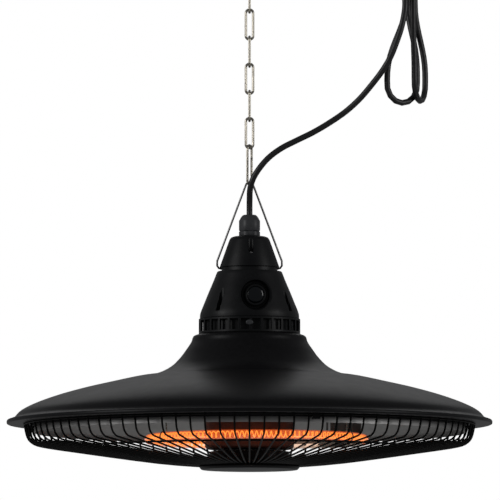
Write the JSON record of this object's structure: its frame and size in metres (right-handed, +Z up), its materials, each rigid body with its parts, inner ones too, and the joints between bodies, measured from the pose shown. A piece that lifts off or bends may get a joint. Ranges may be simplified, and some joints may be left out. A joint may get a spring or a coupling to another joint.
{
  "type": "hanging infrared heater",
  "caption": "Bell-shaped hanging heater on a chain, with a glowing ring lamp behind a radial wire guard, a conical housing with a push button, and a hank of cord.",
  "frame": {"origin": "middle of the ceiling plate's upper face", "axes": "+Z up, the viewer and the push button on the -Y side, +X to the viewer's right"},
  "size_m": [0.6, 0.6, 0.6943],
  "materials": {
    "powder_black": "matt powder coat",
    "plastic_black": "fine matt moulding",
    "plastic_grey": "matt moulding",
    "button_gloss": "gloss",
    "aluminium": "satin",
    "steel": "plain",
    "zinc": "zinc plated",
    "black_wire": "black coated wire",
    "quartz": "clear fused tube",
    "glowing": "glowing wire",
    "ceramic": null,
    "rubber": "matt",
    "board": "lacquered"
  },
  "bodies": {
    "ceiling": {"ceiling_plate": "zinc", "plate_screw_1": "steel", "plate_screw_2": "steel", "ceiling_hook": "zinc", "cord_hook": "zinc"},
    "link_1": {"chain_link_1": "zinc"},
    "link_2": {"chain_link_2": "zinc"},
    "link_3": {"chain_link_3": "zinc"},
    "link_4": {"chain_link_4": "zinc"},
    "link_5": {"chain_link_5": "zinc"},
    "link_6": {"chain_link_6": "zinc"},
    "link_7": {"chain_link_7": "zinc"},
    "snap": {"snap_hook": "zinc"},
    "gate": {"snap_gate": "zinc"},
    "hanger": {"bail": "steel"},
    "heater": {"shade": "powder_black", "reflector": "aluminium", "reflector_stud_1": "steel", "reflector_stud_2": "steel", "reflector_stud_3": "steel", "centre_drum": "aluminium", "quartz_ring": "quartz", "heating_coil": "glowing", "ceramic_end_1": "ceramic", "ceramic_end_2": "ceramic", "lamp_bracket": "steel", "lamp_lead_1": "ceramic", "lamp_lead_2": "ceramic", "lamp_clip_1": "steel", "lamp_clip_2": "steel", "wire_guard": "black_wire", "guard_hub_plate": "powder_black", "guard_hub_washer": "powder_black", "guard_hub_screw": "steel", "guard_clip_1": "powder_black", "guard_clip_2": "powder_black", "guard_clip_3": "powder_black", "power_cord": "rubber", "cord_hank": "rubber", "cord_tie": "rubber", "plug_body": "rubber", "plug_pin_1": "zinc", "plug_pin_2": "zinc", "vent_collar": "plastic_black", "collar_latch": "plastic_grey", "lower_housing": "plastic_black", "housing_screw_1": "zinc", "housing_screw_2": "zinc", "button_bezel": "plastic_grey", "base_plate": "steel", "push_switch": "plastic_grey", "control_board": "board", "terminal_block": "ceramic", "thermal_cutout": "steel", "top_cap": "plastic_black", "cap_screw": "zinc", "gland_body": "plastic_grey", "gland_nut": "plastic_grey", "inner_cord": "rubber"},
    "button": {"push_button": "button_gloss"}
  },
  "joints": [
    {"name": "link_1_swing", "type": "hinge", "parent": "ceiling", "child": "link_1", "pos_m": [0, 0, -0.06025], "axis": [0, 1, 0], "range_deg": [-15, 15]},
    {"name": "link_2_swing", "type": "hinge", "parent": "link_1", "child": "link_2", "pos_m": [0, 0, -0.09355], "axis": [1, 0, 0], "range_deg": [-15, 15]},
    {"name": "link_3_swing", "type": "hinge", "parent": "link_2", "child": "link_3", "pos_m": [0, 0, -0.12725], "axis": [0, 1, 0], "range_deg": [-15, 15]},
    {"name": "link_4_swing", "type": "hinge", "parent": "link_3", "child": "link_4", "pos_m": [0, 0, -0.16095], "axis": [1, 0, 0], "range_deg": [-15, 15]},
    {"name": "link_5_swing", "type": "hinge", "parent": "link_4", "child": "link_5", "pos_m": [0, 0, -0.19465], "axis": [0, 1, 0], "range_deg": [-15, 15]},
    {"name": "link_6_swing", "type": "hinge", "parent": "link_5", "child": "link_6", "pos_m": [0, 0, -0.22835], "axis": [1, 0, 0], "range_deg": [-15, 15]},
    {"name": "link_7_swing", "type": "hinge", "parent": "link_6", "child": "link_7", "pos_m": [0, 0, -0.26205], "axis": [0, 1, 0], "range_deg": [-15, 15]},
    {"name": "snap_swing", "type": "hinge", "parent": "link_7", "child": "snap", "pos_m": [0, 0, -0.29575], "axis": [1, 0, 0], "range_deg": [-15, 15]},
    {"name": "gate_hinge", "type": "hinge", "parent": "snap", "child": "gate", "pos_m": [0.00258, 0.00486, -0.33135], "axis": [0.8829, -0.4695, 0], "range_deg": [0, 18], "stiffness_Nm_per_rad": 0.02, "springref_deg": -17.19},
    {"name": "bail_swing", "type": "hinge", "parent": "snap", "child": "hanger", "pos_m": [0, 0, -0.34135], "axis": [0.4695, 0.8829, 0], "range_deg": [-15, 15]},
    {"name": "heater_tilt", "type": "hinge", "parent": "hanger", "child": "heater", "pos_m": [0, 0, -0.4456], "axis": [1, 0, 0], "range_deg": [-30, 30], "deforming": ["power_cord", "cord_hank", "cord_tie", "plug_body", "plug_pin_1", "plug_pin_2"]},
    {"name": "button_push", "type": "slide", "parent": "heater", "child": "button", "axis": [-0.1444, 0.9895, 0], "range_m": [0, 0.002], "stiffness_N_per_m": 300, "springref_m": -0.002}
  ]
}
